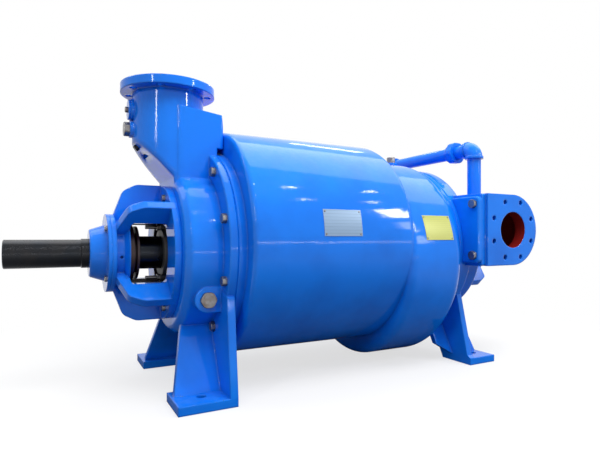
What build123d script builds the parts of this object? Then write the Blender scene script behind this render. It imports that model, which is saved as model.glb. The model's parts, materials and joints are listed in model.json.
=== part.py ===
"""Two-stage liquid ring vacuum pump with conical ports, built as separate named pieces.

Millimetres. X runs along the shaft from the drive end to the idle end, +Z is up.
The origin is on the floor, in the middle of the four foot bolt holes.
"""
import math
import os

from build123d import *

axis_height = 408.0            # floor to shaft axis
running_gap = 0.3              # between turning and fixed pieces
spigot_gap = 0.2               # radial gap of a located flange
shaft_fit = 0.05               # radial gap of balls in their races

# feet
foot_span_x = 1030.0
foot_span_y = 510.0
foot_hole_r = 13.0
foot_pad_thick = 24.0
foot_inner_y = 181.0
foot_outer_y = 314.5
drive_foot_x0 = -591.0
drive_foot_x1 = -430.0
idle_foot_x0 = 441.0
idle_foot_x1 = 563.0
foot_rib_thick = 22.0
foot_web_thick = 20.0
foot_web_top_y = 112.0
foot_web_top_z = 200.0
foot_web_low_y = 212.0
idle_web_toe_x = 380.0

# body
first_barrel_r = 355.5
first_barrel_z = 438.0
first_bore_r = 283.0
first_barrel_x0 = -400.0
first_barrel_x1 = 150.0
second_barrel_r = 360.0
second_barrel_z = 379.5
second_bore_r = 283.0
second_barrel_x1 = 370.0
drive_shoulder_r = 14.0
middle_shoulder_r = 22.0
sump_corner_r = 26.0
idle_shoulder_r = 46.0
rim_r = 305.0
rim_z = 420.0
rim_edge_r = 4.0
drive_joint_x = -424.0
idle_joint_x = 400.0
first_inset = 26.0
second_inset = 38.0
opening_r = 258.0
interstage_x0 = 124.0
interstage_x1 = 156.0

# joint bolts
joint_bolt_circle_r = 280.0
joint_bolt_count = 10
joint_bolt_first_deg = 18.0
joint_bolt_r = 8.0
joint_hole_r = 9.0
spot_face_r = 17.0
joint_bolt_depth = 24.0
joint_bolt_flats = 26.0
joint_bolt_head = 13.0

# heads
head_flange_x0 = -449.0
head_drum_r = 251.0
head_face_r = 234.0
head_face_x = -553.0
head_corner = 17.0
head_corner_r = 14.0
idle_flange_x1 = 457.0
idle_face_x = 579.0
chamber_outer_r = 215.0
chamber_wall = 22.0
tunnel_r = 84.0
chamber_mouth_r = 142.0
chamber_web_thick = 16.0
spigot_setback = 4.0

# suction nozzle and duct
nozzle_x = -547.0
nozzle_r = 108.0
suction_bore_r = 75.0
suction_flange_r = 142.5
suction_flange_thick = 25.0
suction_face_z = 922.0
suction_pcd = 240.0
suction_hole_r = 11.0
suction_hole_count = 8
duct_half_width = 112.0
duct_roof_z0 = 848.0
duct_roof_z1 = 830.0
duct_end_x = -408.0
duct_foot_x = -401.5
duct_corner_r = 12.0
nozzle_wall = 18.0
duct_over_rim_z = 727.0
underside_x0 = -650.0
underside_z0 = 741.0
underside_z1 = 635.0
nozzle_pad_x = -664.0
nozzle_cover_z = 841.0
nozzle_cover_r = 30.0
nozzle_plug_z = 782.0
nozzle_plug_flats = 40.0
corner_plug_share = 0.1

# discharge box
discharge_x = 579.0
discharge_z = 481.0
discharge_face_y = -382.0
discharge_r = 125.5
discharge_bore_r = 64.0
discharge_pcd = 210.0
discharge_hole_r = 9.0
discharge_hole_depth = 26.0
discharge_hole_count = 8
box_left_x = 432.0
box_flange_left_x = 450.0
box_back_y = -226.0
box_wall = 20.0
box_corner_r = 8.0
cover_x = 414.0
cover_outer_y = -374.0
cover_bolt_y = -352.0
cover_bolt_z = (393.0, 570.0)
cover_bolt_r = 8.0
cover_bolt_flats = 28.0
cover_bolt_head = 12.0
cover_bolt_grip = 24.0
cover_inner_y = -256.0

# bearing bracket, drive side sizes
bracket_flange_x0 = -573.0
bracket_flange_r = 206.0
bracket_rib_r = 206.0
bracket_rib_thick = 26.0
bracket_shell_r = 132.0
bracket_shell_inner_r = 112.0
window_x0 = -675.0
window_x1 = -573.0
window_half_height = 86.0
window_corner_r = 12.0
barrel_r = 96.0
housing_flange_r = 115.5
housing_flange_x0 = -723.0
housing_flange_x1 = -711.0
bracket_bolt_circle_r = 178.0
bracket_bolt_degs = (66.0, 114.0, 246.0, 294.0)
bracket_rib_degs = (90.0, 270.0, 42.0, 138.0, 222.0, 318.0)
bracket_bolt_r = 7.0
bracket_bolt_flats = 21.0
bracket_bolt_head = 9.0
bracket_bolt_reach = 36.0
clearance = 0.5                # radial gap of a bolt in its plain hole

# caps
cap_flange_x0 = -733.0
cap_face_x = -777.0
cap_nose_r = 70.0
cap_root_r = 84.0
cap_bolt_circle_r = 95.0
cap_bolt_degs = (49.0, 131.0, 229.0, 311.0)
cap_bolt_r = 5.0
cap_bolt_flats = 16.0
cap_bolt_head = 6.5
cap_bolt_reach = 21.0
cap_bore_r = 60.0
grease_hole_x = -697.0
grease_hole_z = 398.0
grease_hole_r = 4.0

# bearing
bearing_bore_r = 42.5
bearing_outer_r = 75.0
bearing_x0 = -723.0
bearing_x1 = -695.0
ball_r = 11.0
ball_count = 11
cage_half_width = 8.0
cage_half_thick = 3.0

# shaft
shaft_end_x = -989.0
shaft_end_r = 40.0
shaft_step_x = -798.0
idle_shaft_end_x = 762.0
sleeve_seat_r = 44.0
sleeve_r = 50.0
sleeve_x0 = -695.0
sleeve_x1 = -440.0
neck_r = 52.0
rotor_seat_r = 56.0
rotor_seat_x0 = -398.0
collar_r = 64.0
collar_x0 = 118.0
collar_x1 = 162.0
rotor2_seat_x1 = 362.0
key_width = 22.0
key_depth = 9.0
key_x0 = -975.0
key_x1 = -815.0
key_turn_deg = -90.0
rotor_key_width = 24.0
rotor_key_height = 12.0
rotor_key_spans = ((-120.0, 90.0), (174.0, 246.0))

# rotors
rotor_r = 250.0
blade_count = 16
blade_thick = 8.0
blade_sweep_deg = 26.0
shroud_thick = 10.0
ring_inner_r = 178.0
rotor_hub_r = 96.0
first_rotor_x0 = -394.0
first_rotor_x1 = 118.0
second_rotor_x0 = 162.0
second_rotor_x1 = 358.0

# port cones
cone_flange_r = 166.0
cone_flange_setback = 2.0
cone_root_r = 150.0
cone_tip_r = 110.0
first_cone_tip_x = -170.0
second_cone_tip_x = 262.0
cone_wall = 9.0
cone_tube_r = 66.0
cone_tube_bore_r = 57.0
cone_gap = 1.2

# stuffing box
stuffing_bore_r = 66.0
stuffing_bottom_x = -475.0
neck_hole_r = 53.0
packing_width = 13.0
lantern_width = 14.0
gland_flange_x0 = -573.0
gland_flange_x1 = -560.0
gland_nose_r = 65.6
gland_half_height = 96.0
gland_stud_z = 78.0
gland_stud_r = 6.0
gland_stud_reach = 44.0
gland_bore_r = 50.6

# slinger and inner cover
slinger_x = -648.0
slinger_r = 80.0
slinger_thick = 7.0
inner_cover_x0 = -675.0
inner_cover_x1 = -660.0
inner_cover_r = 88.0

# bypass pipe
pipe_r = 24.15
pipe_bore_r = 20.0
fitting_r = 29.5
bypass_x = 503.0
riser_y = -275.0
bypass_z = 778.0
fitting_reach = 36.0
fitting_bend_r = 31.0
fitting_grip = 10.0
fitting_collar = 10.0
union_y = -176.0
union_nut_flats = 76.0
union_half_length = 22.0
far_elbow_y = 200.0
drop_boss_z = 640.0

# plugs and plates
head_plug_z = 281.0
head_plug_x = -490.0
head_plug_flats = 42.0
head_boss_y = 236.0
head_boss_r = 36.0
vent_x = 338.0
vent_boss_height = 12.0
plate_thick = 1.2
plate_seat_gap = 0.1
nameplate_x0 = -185.0
nameplate_x1 = -54.0
nameplate_half_height = 39.0
nameplate_z = 497.0
spec_x0 = 200.0
spec_x1 = 318.0
spec_half_height = 40.5
spec_z = 486.5
mirror_sum_x = idle_face_x + head_face_x


# helpers
def tube_x(x0, x1, outer, inner=0.0, y=0.0, z=axis_height):
    """A cylinder along X, hollow if inner is given."""
    shape = Pos((x0 + x1) / 2, y, z) * Rot(0, 90, 0) * Cylinder(outer, abs(x1 - x0))
    if inner > 0:
        shape -= Pos((x0 + x1) / 2, y, z) * Rot(0, 90, 0) * Cylinder(inner, abs(x1 - x0) + 2)
    return shape


def tube_z(x, y, z0, z1, outer, inner=0.0):
    """A cylinder along Z, hollow if inner is given."""
    shape = Pos(x, y, (z0 + z1) / 2) * Cylinder(outer, abs(z1 - z0))
    if inner > 0:
        shape -= Pos(x, y, (z0 + z1) / 2) * Cylinder(inner, abs(z1 - z0) + 2)
    return shape


def tube_y(x, z, y0, y1, outer, inner=0.0):
    """A cylinder along Y, hollow if inner is given."""
    shape = Pos(x, (y0 + y1) / 2, z) * Rot(90, 0, 0) * Cylinder(outer, abs(y1 - y0))
    if inner > 0:
        shape -= Pos(x, (y0 + y1) / 2, z) * Rot(90, 0, 0) * Cylinder(inner, abs(y1 - y0) + 2)
    return shape


def block(x0, x1, y0, y1, z0, z1):
    """A box given by its limits."""
    return Pos((x0 + x1) / 2, (y0 + y1) / 2, (z0 + z1) / 2) * Box(abs(x1 - x0), abs(y1 - y0), abs(z1 - z0))


def outline_face(points):
    """A face from the corners of its outline; a third number in a corner rounds it."""
    corners = [corner[:2] for corner in points]
    rounds = [corner[2] if len(corner) > 2 else 0.0 for corner in points]
    if any(rounds):
        return make_face(FilletPolyline(*corners, radius=rounds, close=True))
    return make_face(Polyline(*corners, close=True))


def turned(points, z=axis_height):
    """A body of revolution about the X axis at height z from (x, radius) points."""
    return Pos(0, 0, z) * revolve(outline_face(points), Axis.X, 360)


def prism_y(points, y0, y1):
    """A prism along Y from (x, z) points."""
    plane = Plane(origin=(0, y0, 0), x_dir=(1, 0, 0), z_dir=(0, -1, 0))
    return extrude(plane * outline_face(points), amount=y0 - y1)


def prism_x(points, x0, x1):
    """A prism along X from (y, z) points."""
    plane = Plane(origin=(x0, 0, 0), x_dir=(0, 1, 0), z_dir=(1, 0, 0))
    return extrude(plane * outline_face(points), amount=x1 - x0)


def around(degrees, radius):
    """The (y, z) place at an angle seen from the drive end; 0 is the near side (-Y), 90 is up."""
    a = math.radians(degrees)
    return -radius * math.cos(a), axis_height + radius * math.sin(a)


def about_shaft(shape, degrees):
    """The same piece turned about the shaft axis."""
    return Pos(0, 0, axis_height) * Rot(degrees, 0, 0) * Pos(0, 0, -axis_height) * shape


def hexagon(flats, height):
    """A hexagonal prism along Z with its base at z = 0 and chamfered top corners."""
    corner_r = flats / math.sqrt(3)
    prism = extrude(RegularPolygon(corner_r, 6), amount=height)
    cone = Pos(0, 0, height / 2) * Cylinder(corner_r - 0.04 * flats, height)
    cone = chamfer(cone.edges().sort_by(Axis.Z)[-1], min(height, flats) * 0.09)
    return prism & cone


def hex_bolt(shank_r, shank_length, head_height, flats):
    """A bolt along Z: the head above z = 0, the shank below."""
    return hexagon(flats, head_height) + Pos(0, 0, -shank_length / 2) * Cylinder(shank_r, shank_length)


def mirrored(shape):
    """The same piece on the idle side."""
    return mirror(shape, about=Plane(origin=(mirror_sum_x / 2, 0, 0), z_dir=(1, 0, 0)))


def facing(shape, x, y, z, direction):
    """Put a piece that was made along Z so that its top looks along a direction."""
    turn = {"-X": Rot(0, -90, 0), "+X": Rot(0, 90, 0), "-Y": Rot(90, 0, 0)}
    return Pos(x, y, z) * turn[direction] * shape


def group(shapes):
    """Several separate solids as one node."""
    solids = []
    for shape in shapes:
        solids.extend(shape.solids())
    return Compound(children=solids)


def one(shape):
    """The single solid of a shape."""
    solids = shape.solids()
    if len(solids) != 1:
        raise ValueError("expected one solid, got %d" % len(solids))
    return solids[0]


# castings
def foot_pair(x0, x1, rib_x0, web_reach, outer_edge):
    """Two mirrored feet under a head: pad, cross rib with a sloped outer edge, and a slanted web."""
    feet = []
    rib_x1 = rib_x0 + foot_rib_thick
    hole_x = foot_span_x / 2 if x0 > 0 else -foot_span_x / 2
    for side in (-1, 1):
        pad = block(x0, x1, side * foot_inner_y, side * foot_outer_y, 0, foot_pad_thick)
        rim = [(side * y, z) for y, z in outer_edge]
        rib = prism_x([(side * foot_inner_y, 0), (side * foot_outer_y, 0)] + rim
                      + [(side * 150, axis_height - 70), (side * 84, foot_web_top_z + 40),
                         (side * 84, foot_web_top_z)], rib_x0, rib_x1)
        web = prism_x([(side * foot_web_low_y, foot_pad_thick - 4),
                       (side * (foot_web_low_y + foot_web_thick), foot_pad_thick - 4),
                       (side * (foot_web_top_y + foot_web_thick), foot_web_top_z + 10),
                       (side * (foot_web_top_y + foot_web_thick - 20), foot_web_top_z + 60),
                       (side * (foot_web_top_y - 20), foot_web_top_z + 60),
                       (side * foot_web_top_y, foot_web_top_z + 10)], *web_reach[0])
        trim = prism_y(web_reach[1], -foot_outer_y - 5, foot_outer_y + 5)
        foot = pad + rib + (web & trim)
        foot -= tube_z(hole_x, side * foot_span_y / 2, -5, foot_pad_thick + 5, foot_hole_r)
        feet.append(foot)
    return feet


def chamber(x_face, x_joint):
    """The hollow of a head: an annular chamber split by a level web."""
    step = 1 if x_joint > x_face else -1
    inner_wall = x_face + step * (chamber_wall + 4)
    mouth_x = x_joint - step * 26
    room = tube_x(inner_wall, mouth_x, chamber_outer_r, tunnel_r)
    room += tube_x(mouth_x - step, x_joint + step, chamber_mouth_r, tunnel_r)
    low = min(inner_wall, x_joint) - 5
    high = max(inner_wall, x_joint) + 5
    room -= block(low, high, -300, 300, axis_height - chamber_web_thick / 2, axis_height + chamber_web_thick / 2)
    return room


def on_joint(degrees):
    """The (y, z) place of a joint bolt; the circle stands round the centre of the rim."""
    y, z = around(degrees, joint_bolt_circle_r)
    return y, z + rim_z - axis_height


def joint_angles():
    return [joint_bolt_first_deg + i * 360.0 / joint_bolt_count for i in range(joint_bolt_count)]


def idle_joint_angles():
    """The idle joint leaves out the place that the discharge box covers."""
    return [d for d in joint_angles() if abs(d - joint_bolt_first_deg) > 1]


def rim_disc(joint_x, end_x):
    """Solid disc of a joint flange, with its outer corner rounded at joint_x."""
    return turned([(joint_x, 0), (joint_x, rim_r, rim_edge_r), (end_x, rim_r), (end_x, 0)], rim_z)


def make_body():
    """Casing of both stages with the two lobed bores and the wall between them."""
    step_x0 = first_barrel_x1 - 18
    step_x1 = first_barrel_x1 + 6
    first = turned([(first_barrel_x0, 0), (first_barrel_x0, first_barrel_r, drive_shoulder_r),
                    (step_x1, first_barrel_r, middle_shoulder_r), (step_x1, 0)], first_barrel_z)
    second = turned([(step_x0, 0), (step_x0, second_barrel_r, sump_corner_r),
                     (second_barrel_x1, second_barrel_r, idle_shoulder_r), (second_barrel_x1, 0)],
                    second_barrel_z)
    body = first + second
    body += rim_disc(drive_joint_x, first_barrel_x0 + 2)
    body += rim_disc(idle_joint_x, second_barrel_x1 - 50)
    first_chamber_x0 = drive_joint_x + first_inset
    second_chamber_x1 = idle_joint_x - second_inset
    body -= tube_x(first_chamber_x0, interstage_x0, first_bore_r, 0, 0, first_barrel_z)
    body -= tube_x(interstage_x1, second_chamber_x1, second_bore_r, 0, 0, second_barrel_z)
    body -= tube_x(drive_joint_x - 1, first_chamber_x0 + 2, opening_r)
    body -= tube_x(second_chamber_x1 - 2, idle_joint_x + 1, opening_r)
    body -= tube_x(interstage_x0 - 1, interstage_x1 + 1, collar_r + running_gap)
    for d in joint_angles():
        body -= tube_x(drive_joint_x - 1, drive_joint_x + joint_bolt_depth, joint_bolt_r, 0, *on_joint(d))
    for d in idle_joint_angles():
        body -= tube_x(idle_joint_x - joint_bolt_depth, idle_joint_x + 1, joint_bolt_r, 0, *on_joint(d))
    boss_top = second_barrel_z + second_barrel_r + vent_boss_height
    body += tube_z(vent_x, 0, boss_top - 60, boss_top, 26)
    body -= tube_z(vent_x, 0, boss_top - 20, boss_top + 1, 12)
    return one(body)


def stuffing_cut(end_x):
    """The packing bore and the neck behind it, drive side, up to end_x."""
    cut = tube_x(head_face_x - 1, stuffing_bottom_x, stuffing_bore_r)
    cut += tube_x(stuffing_bottom_x - 1, end_x, neck_hole_r)
    return cut


def underside_z(x):
    """Height of the slanted underside of the nozzle at x."""
    slope = (underside_z0 - underside_z1) / (head_face_x - underside_x0)
    return underside_z0 - (x - underside_x0) * slope


def make_drive_head():
    """Drive head with drum, feet, stuffing box, suction nozzle and duct."""
    head = turned([(head_face_x, 0), (head_face_x, head_face_r, head_corner_r),
                   (head_face_x + head_corner, head_drum_r, head_corner_r), (drive_joint_x, head_drum_r),
                   (drive_joint_x, 0)])
    head += turned([(head_flange_x0, 0), (head_flange_x0, rim_r, rim_edge_r),
                    (drive_joint_x, rim_r, rim_edge_r), (drive_joint_x, 0)], rim_z)
    head += tube_x(drive_joint_x - 1, drive_joint_x + first_inset - spigot_setback, opening_r - spigot_gap,
                   cone_flange_r + spigot_gap)
    web_side = [(drive_foot_x0 + 4, 0), (drive_foot_x1, 0), (drive_foot_x1, 300), (-541, 300), (-541, 200)]
    outer_edge = [(foot_outer_y, foot_pad_thick), (298, 164), (286, 290)]
    for foot in foot_pair(drive_foot_x0, drive_foot_x1, drive_foot_x1 - foot_rib_thick,
                          ((drive_foot_x0, drive_foot_x1 - 2), web_side), outer_edge):
        head += foot
    for side in (-1, 1):
        head += tube_y(head_plug_x, head_plug_z, side * head_boss_y, side * 150, head_boss_r)
        head += block(head_plug_x, head_flange_x0 + 2, side * 150, side * head_boss_y, head_plug_z - head_boss_r,
                      head_plug_z + head_boss_r)
    duct = prism_y([(nozzle_x, 560), (nozzle_x, duct_roof_z0), (duct_end_x, duct_roof_z1), (duct_foot_x, 784),
                    (duct_foot_x, duct_over_rim_z), (drive_joint_x, duct_over_rim_z), (drive_joint_x, 560)],
                   -duct_half_width, duct_half_width)
    corners = duct.edges().filter_by(Axis.Z).sort_by(Axis.X)
    duct = fillet(corners[:2] + corners[-2:], duct_corner_r)
    nozzle = tube_z(nozzle_x, 0, 560, suction_face_z - 2, nozzle_r)
    near_x = nozzle_x - 130
    nozzle -= prism_y([(near_x, 540), (head_face_x, 540), (head_face_x, underside_z1),
                       (underside_x0, underside_z0), (near_x, underside_z0 + 1)], -200, 200)
    flange = tube_z(nozzle_x, 0, suction_face_z - suction_flange_thick, suction_face_z, suction_flange_r)
    plug_pad = tube_x(nozzle_pad_x, nozzle_x, 25, 0, 0, nozzle_plug_z)
    cover_pad = tube_x(nozzle_pad_x + 2, nozzle_x, nozzle_cover_r + 3, 0, 0, nozzle_cover_z)
    riser = duct + nozzle + flange + plug_pad + cover_pad
    riser -= tube_z(nozzle_x, 0, 700, suction_face_z + 1, suction_bore_r)
    passage = prism_y([(nozzle_x - suction_bore_r, 760), (nozzle_x - suction_bore_r, 728), (head_face_x + 30, 618),
                       (head_face_x + 30, 560), (drive_joint_x - 30, 560), (drive_joint_x - 22, 700),
                       (duct_end_x - 18, 806), (nozzle_x + 20, 824), (nozzle_x, 790)], -90, 90)
    throat = tube_z(nozzle_x, 0, 540, 860, nozzle_r - nozzle_wall)
    throat += block(nozzle_x, drive_joint_x, -90, 90, 540, 860)
    head += riser
    head += tube_x(head_face_x, drive_joint_x, 120)
    head -= passage & throat
    head -= chamber(head_face_x, drive_joint_x)
    head -= stuffing_cut(drive_joint_x + 1)
    for d in joint_angles():
        if abs(d - 90) > 1:
            head -= tube_x(head_flange_x0 - 1, drive_joint_x + 1, joint_hole_r, 0, *on_joint(d))
            head -= tube_x(head_flange_x0 - 30, head_flange_x0, spot_face_r, 0, *on_joint(d))
    for d in bracket_bolt_degs:
        head -= tube_x(head_face_x - 1, head_face_x + 20, bracket_bolt_r, 0, *around(d, bracket_bolt_circle_r))
    for side in (-1, 1):
        head -= tube_x(head_face_x - 1, head_face_x + 18, gland_stud_r, 0, 0, axis_height + side * gland_stud_z)
    for i in range(suction_hole_count):
        a = math.radians(22.5 + 45 * i)
        head -= tube_z(nozzle_x + suction_pcd / 2 * math.cos(a), suction_pcd / 2 * math.sin(a),
                       suction_face_z - suction_flange_thick - 1, suction_face_z + 1, suction_hole_r)
    return one(head)


def make_idle_head():
    """Idle head with drum, feet, stuffing box and the sideways discharge box."""
    head = turned([(idle_face_x, 0), (idle_face_x, head_face_r, head_corner_r),
                   (idle_face_x - head_corner, head_drum_r, head_corner_r), (idle_joint_x, head_drum_r),
                   (idle_joint_x, 0)])
    head += turned([(idle_flange_x1, 0), (idle_flange_x1, rim_r, rim_edge_r),
                    (idle_joint_x, rim_r, rim_edge_r), (idle_joint_x, 0)], rim_z)
    head += tube_x(idle_joint_x - second_inset + spigot_setback, idle_joint_x + 1, opening_r - spigot_gap,
                   cone_flange_r + spigot_gap)
    web_side = [(idle_foot_x0, 0), (idle_foot_x1 - 4, 0), (540, 200), (540, 300),
                (idle_joint_x + 1, 300), (idle_joint_x + 1, 140), (idle_web_toe_x, 120),
                (idle_web_toe_x, 62), (idle_foot_x0, foot_pad_thick)]
    outer_edge = [(foot_outer_y, foot_pad_thick), (300, 32), (292, 67), (255, 225), (240, 290)]
    for foot in foot_pair(idle_foot_x0, idle_foot_x1, idle_foot_x0,
                          ((idle_web_toe_x - 1, idle_foot_x1), web_side), outer_edge):
        head += foot
    low_z = discharge_z - discharge_r
    high_z = discharge_z + discharge_r
    box = block(box_left_x, discharge_x, discharge_face_y + 10, -120, low_z, high_z)
    box = fillet(box.edges().filter_by(Axis.X).sort_by(Axis.Y)[:2], box_corner_r)
    round_end = tube_y(discharge_x, discharge_z, discharge_face_y, box_back_y, discharge_r)
    face_plate = block(box_flange_left_x, discharge_x, discharge_face_y, discharge_face_y + 30, low_z, high_z)
    head += box + round_end + face_plate
    head += tube_z(bypass_x, riser_y, 560, high_z + 4, fitting_r)
    head += tube_z(bypass_x, far_elbow_y, 500, drop_boss_z, fitting_r)
    head -= tube_y(discharge_x, discharge_z, discharge_face_y - 1, -300, discharge_bore_r)
    room = block(box_left_x + 46, discharge_x, -340, -255, low_z + box_wall + 16, high_z - box_wall - 8)
    room += tube_y(discharge_x, discharge_z, -340, -250, discharge_r - box_wall - 8)
    room += block(box_left_x + 46, idle_face_x - 30, -300, -150, low_z + box_wall + 30, high_z - box_wall - 40)
    head -= room
    head -= chamber(idle_face_x, idle_joint_x)
    head -= mirrored(stuffing_cut(mirror_sum_x - idle_joint_x + 1))
    for d in idle_joint_angles():
        head -= tube_x(idle_joint_x - 1, idle_flange_x1 + 1, joint_hole_r, 0, *on_joint(d))
        head -= tube_x(idle_flange_x1, idle_flange_x1 + 30, spot_face_r, 0, *on_joint(d))
    for d in bracket_bolt_degs:
        head -= tube_x(idle_face_x - 20, idle_face_x + 1, bracket_bolt_r, 0, *around(d, bracket_bolt_circle_r))
    for side in (-1, 1):
        head -= tube_x(idle_face_x - 18, idle_face_x + 1, gland_stud_r, 0, 0, axis_height + side * gland_stud_z)
    for i in range(discharge_hole_count):
        a = math.radians(22.5 + 45 * i)
        hole_x = discharge_x + discharge_pcd / 2 * math.cos(a)
        hole_z = discharge_z + discharge_pcd / 2 * math.sin(a)
        head -= tube_y(hole_x, hole_z, discharge_face_y - 1, discharge_face_y + discharge_hole_depth,
                       discharge_hole_r)
    for z in cover_bolt_z:
        head -= tube_x(box_left_x - 1, box_left_x + 26, cover_bolt_r, 0, cover_bolt_y, z)
    head -= tube_z(bypass_x, riser_y, high_z - 12, high_z + 5, pipe_r)
    head -= tube_z(bypass_x, far_elbow_y, drop_boss_z - 16, drop_boss_z + 1, pipe_r)
    return one(head)


def make_bracket():
    """Drive bearing bracket: flange, windowed shell, six ribs and the bearing barrel."""
    shell = turned([(housing_flange_x0, bearing_outer_r + spigot_gap), (housing_flange_x0, housing_flange_r),
                    (housing_flange_x1, housing_flange_r), (housing_flange_x1, barrel_r),
                    (window_x0 - 14, barrel_r), (window_x0 + 8, bracket_shell_r),
                    (window_x1 + 2, bracket_shell_r), (window_x1 + 2, 140), (head_face_x, 140),
                    (head_face_x, bracket_shell_inner_r), (window_x0, bracket_shell_inner_r),
                    (window_x0, bearing_outer_r + spigot_gap)])
    flange = tube_x(bracket_flange_x0, head_face_x, bracket_flange_r, bracket_shell_inner_r)
    bracket = shell + flange
    for degrees in bracket_rib_degs:
        rib = prism_y([(housing_flange_x1 - 4, 96), (housing_flange_x1, housing_flange_r - 2), (-684, 186, 30),
                       (-646, bracket_rib_r, 40), (head_face_x, bracket_rib_r), (head_face_x, 120), (-660, 116),
                       (-690, 90)], -bracket_rib_thick / 2, bracket_rib_thick / 2)
        bracket += Pos(0, 0, axis_height) * Rot(90 - degrees, 0, 0) * rib
    window = block(window_x0, window_x1, -300, 300, axis_height - window_half_height,
                   axis_height + window_half_height)
    window = fillet(window.edges().filter_by(Axis.Y), window_corner_r)
    bracket -= window
    bracket -= tube_x(head_face_x - 30, head_face_x + 1, bracket_shell_inner_r)
    for d in bracket_bolt_degs:
        y, z = around(d, bracket_bolt_circle_r)
        bracket -= tube_x(bracket_flange_x0 - 1, head_face_x + 1, bracket_bolt_r + clearance, 0, y, z)
    for d in cap_bolt_degs:
        bracket -= tube_x(housing_flange_x0 - 1, housing_flange_x1 + 1, cap_bolt_r, 0,
                          *around(d, cap_bolt_circle_r))
    bracket -= tube_y(grease_hole_x, grease_hole_z, -barrel_r - 5, -bearing_outer_r - 8, grease_hole_r)
    return one(bracket)


def make_cap(closed):
    """Outer bearing cover; the drive one lets the shaft out, the idle one is closed."""
    face_hole_r = bearing_bore_r + running_gap
    cap = turned([(cap_face_x, 0), (cap_face_x, cap_nose_r - 3), (cap_face_x + 3, cap_nose_r),
                  (cap_flange_x0, cap_root_r), (cap_flange_x0, housing_flange_r),
                  (housing_flange_x0, housing_flange_r), (housing_flange_x0, 0)])
    cap -= tube_x(cap_face_x + 14, housing_flange_x0 + 1, cap_bore_r)
    if not closed:
        cap -= tube_x(cap_face_x - 1, cap_face_x + 16, face_hole_r)
    for d in cap_bolt_degs:
        cap -= tube_x(cap_flange_x0 - 1, housing_flange_x0 + 1, cap_bolt_r + clearance, 0,
                      *around(d, cap_bolt_circle_r))
    return one(cap)


def make_inner_cover():
    """Ring that closes the bearing from the window side."""
    cover = tube_x(inner_cover_x0, inner_cover_x1, inner_cover_r, sleeve_r + running_gap)
    cover += tube_x(bearing_x1 + 1, inner_cover_x0, bearing_outer_r, sleeve_r + 8)
    return one(cover)


# turning pieces
def make_shaft():
    """Stepped steel shaft with the open key seat for a coupling and the two rotor key seats."""
    idle_bearing_x0 = mirror_sum_x - bearing_x1
    idle_bearing_x1 = mirror_sum_x - bearing_x0
    shaft = turned([(shaft_end_x, 0), (shaft_end_x, shaft_end_r - 2), (shaft_end_x + 2, shaft_end_r),
                    (shaft_step_x, shaft_end_r), (shaft_step_x + 1.5, bearing_bore_r),
                    (bearing_x1, bearing_bore_r),
                    (bearing_x1, sleeve_seat_r), (sleeve_x1, sleeve_seat_r), (sleeve_x1, neck_r),
                    (rotor_seat_x0, neck_r), (rotor_seat_x0, rotor_seat_r), (collar_x0, rotor_seat_r),
                    (collar_x0, collar_r), (collar_x1, collar_r), (collar_x1, rotor_seat_r),
                    (rotor2_seat_x1, rotor_seat_r), (rotor2_seat_x1, neck_r), (mirror_sum_x - sleeve_x1, neck_r),
                    (mirror_sum_x - sleeve_x1, sleeve_seat_r), (idle_bearing_x0, sleeve_seat_r),
                    (idle_bearing_x0, bearing_bore_r), (idle_bearing_x1, bearing_bore_r),
                    (idle_shaft_end_x - 2, bearing_bore_r), (idle_shaft_end_x, bearing_bore_r - 2),
                    (idle_shaft_end_x, 0)])
    seat = Pos((key_x0 + key_x1) / 2, 0, axis_height + shaft_end_r - key_depth / 2)
    slot = seat * Box(key_x1 - key_x0, key_width, key_depth + 0.001)
    slot = fillet(slot.edges().filter_by(Axis.Z), key_width / 2 - 0.01)
    shaft -= about_shaft(slot, key_turn_deg)
    for x0, x1 in rotor_key_spans:
        shaft -= block(x0, x1, -rotor_key_width / 2, rotor_key_width / 2,
                       axis_height + rotor_seat_r - rotor_key_height / 2, axis_height + rotor_seat_r + 3)
    shaft -= Pos(shaft_end_x + 4, 0, axis_height) * Rot(0, -90, 0) * Cone(1.0, 5.0, 10)
    return one(shaft)


def make_rotor_keys():
    """The two keys that carry the rotors."""
    keys = []
    for x0, x1 in rotor_key_spans:
        keys.append(block(x0, x1, -rotor_key_width / 2, rotor_key_width / 2,
                          axis_height + rotor_seat_r - rotor_key_height / 2,
                          axis_height + rotor_seat_r + rotor_key_height / 2))
    return group(keys)


def blade_outline():
    """One forward-swept blade in the plane across the shaft, as (y, z) points round the axis."""
    inner_r = rotor_hub_r - 6
    steps = 7
    front = []
    back = []
    for i in range(steps):
        share = i / (steps - 1)
        r = inner_r + (rotor_r - inner_r) * share
        a = math.radians(blade_sweep_deg) * share * share
        half = math.asin(blade_thick / 2 / r)
        front.append((r * math.cos(a + half), r * math.sin(a + half)))
        back.append((r * math.cos(a - half), r * math.sin(a - half)))
    return front + back[::-1]


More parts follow.
